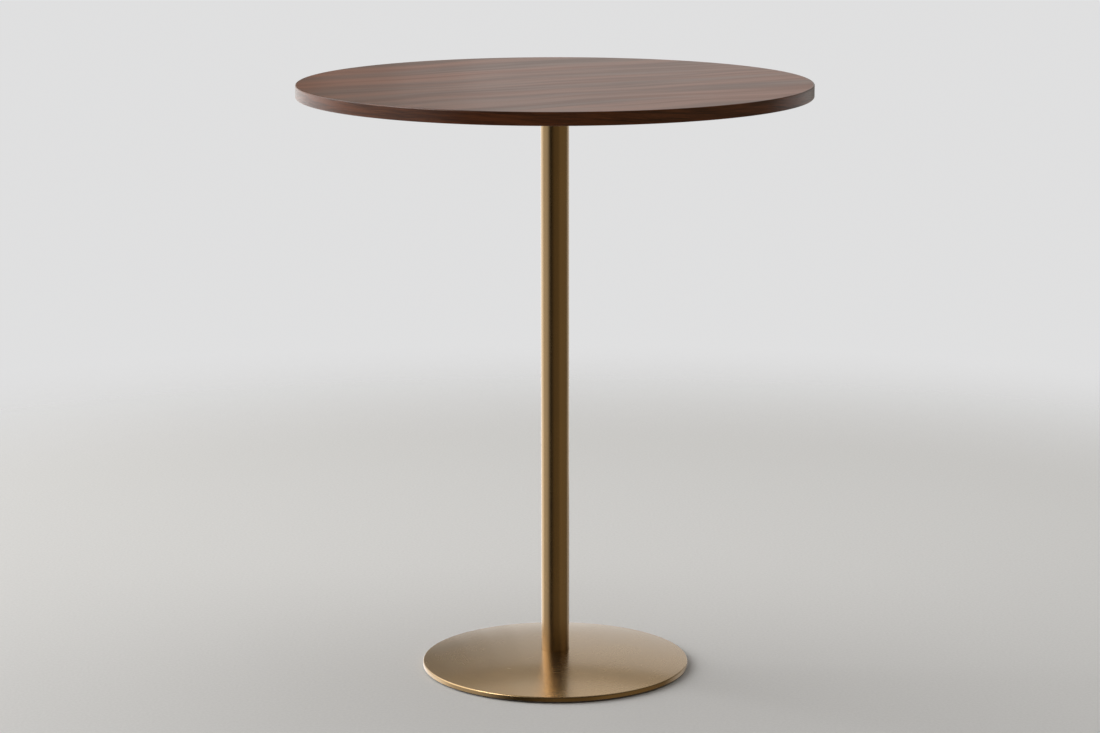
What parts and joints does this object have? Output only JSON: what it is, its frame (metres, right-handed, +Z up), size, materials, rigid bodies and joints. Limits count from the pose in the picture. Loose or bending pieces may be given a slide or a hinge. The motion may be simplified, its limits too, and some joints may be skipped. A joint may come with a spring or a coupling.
{
  "type": "round pedestal table",
  "caption": "Bar-height round pedestal table with a veneered wooden top, one slim brass-finished column, a low domed disc foot and screw-adjusted glides.",
  "frame": {"origin": "on the floor, under the axis of the column", "axes": "+Z up along the column; X and Y are level, and the top's grain runs about along X"},
  "size_m": [0.9, 0.9, 1.05],
  "materials": {
    "walnut_face": "satin",
    "walnut_edge": "satin",
    "backing_veneer": "matte",
    "core_board": "matte",
    "brass_finish": "satin",
    "spider_iron": "matte",
    "plate_steel": "matte",
    "zinc_steel": "satin",
    "nylon": "matte"
  },
  "bodies": {
    "table_frame": {"top_core": "core_board", "top_face_veneer": "walnut_face", "top_backing_veneer": "backing_veneer", "edge_lipping": "walnut_edge", "top_insert_1": "zinc_steel", "top_insert_2": "zinc_steel", "top_insert_3": "zinc_steel", "top_insert_4": "zinc_steel", "top_insert_5": "zinc_steel", "top_insert_6": "zinc_steel", "top_insert_7": "zinc_steel", "top_insert_8": "zinc_steel", "top_spider": "spider_iron", "top_screw_1": "zinc_steel", "top_screw_2": "zinc_steel", "top_screw_3": "zinc_steel", "top_screw_4": "zinc_steel", "top_screw_5": "zinc_steel", "top_screw_6": "zinc_steel", "top_screw_7": "zinc_steel", "top_screw_8": "zinc_steel", "column_tube": "brass_finish", "tie_rod": "zinc_steel", "tie_rod_washer": "zinc_steel", "tie_rod_nut": "zinc_steel", "base_spigot": "zinc_steel", "spigot_screw_1": "zinc_steel", "spigot_screw_2": "zinc_steel", "spigot_screw_3": "zinc_steel", "spigot_screw_4": "zinc_steel", "base_cover": "brass_finish", "base_weight": "plate_steel"},
    "glide_pad_body_1": {"glide_pad_1": "nylon"},
    "glide_stud_body_1": {"glide_stud_1": "zinc_steel"},
    "glide_pad_body_2": {"glide_pad_2": "nylon"},
    "glide_stud_body_2": {"glide_stud_2": "zinc_steel"},
    "glide_pad_body_3": {"glide_pad_3": "nylon"},
    "glide_stud_body_3": {"glide_stud_3": "zinc_steel"},
    "glide_pad_body_4": {"glide_pad_4": "nylon"},
    "glide_stud_body_4": {"glide_stud_4": "zinc_steel"}
  },
  "joints": [
    {"name": "glide_height_1", "type": "slide", "parent": "table_frame", "child": "glide_pad_body_1", "axis": [0, 0, -1], "range_m": [0, 0.0025]},
    {"name": "glide_turn_1", "type": "hinge", "parent": "glide_pad_body_1", "child": "glide_stud_body_1", "pos_m": [0.14496, 0.14496, 0.0053], "axis": [0, 0, -1], "range_deg": [0, 720]},
    {"name": "glide_height_2", "type": "slide", "parent": "table_frame", "child": "glide_pad_body_2", "axis": [0, 0, -1], "range_m": [0, 0.0025]},
    {"name": "glide_turn_2", "type": "hinge", "parent": "glide_pad_body_2", "child": "glide_stud_body_2", "pos_m": [-0.14496, 0.14496, 0.0053], "axis": [0, 0, -1], "range_deg": [0, 720]},
    {"name": "glide_height_3", "type": "slide", "parent": "table_frame", "child": "glide_pad_body_3", "axis": [0, 0, -1], "range_m": [0, 0.0025]},
    {"name": "glide_turn_3", "type": "hinge", "parent": "glide_pad_body_3", "child": "glide_stud_body_3", "pos_m": [-0.14496, -0.14496, 0.0053], "axis": [0, 0, -1], "range_deg": [0, 720]},
    {"name": "glide_height_4", "type": "slide", "parent": "table_frame", "child": "glide_pad_body_4", "axis": [0, 0, -1], "range_m": [0, 0.0025]},
    {"name": "glide_turn_4", "type": "hinge", "parent": "glide_pad_body_4", "child": "glide_stud_body_4", "pos_m": [0.14496, -0.14496, 0.0053], "axis": [0, 0, -1], "range_deg": [0, 720]}
  ],
  "couplings": [
    {"joint": "glide_turn_1", "follows": "glide_height_1", "rad_per_m": 5026.5},
    {"joint": "glide_turn_2", "follows": "glide_height_2", "rad_per_m": 5026.5},
    {"joint": "glide_turn_3", "follows": "glide_height_3", "rad_per_m": 5026.5},
    {"joint": "glide_turn_4", "follows": "glide_height_4", "rad_per_m": 5026.5}
  ]
}
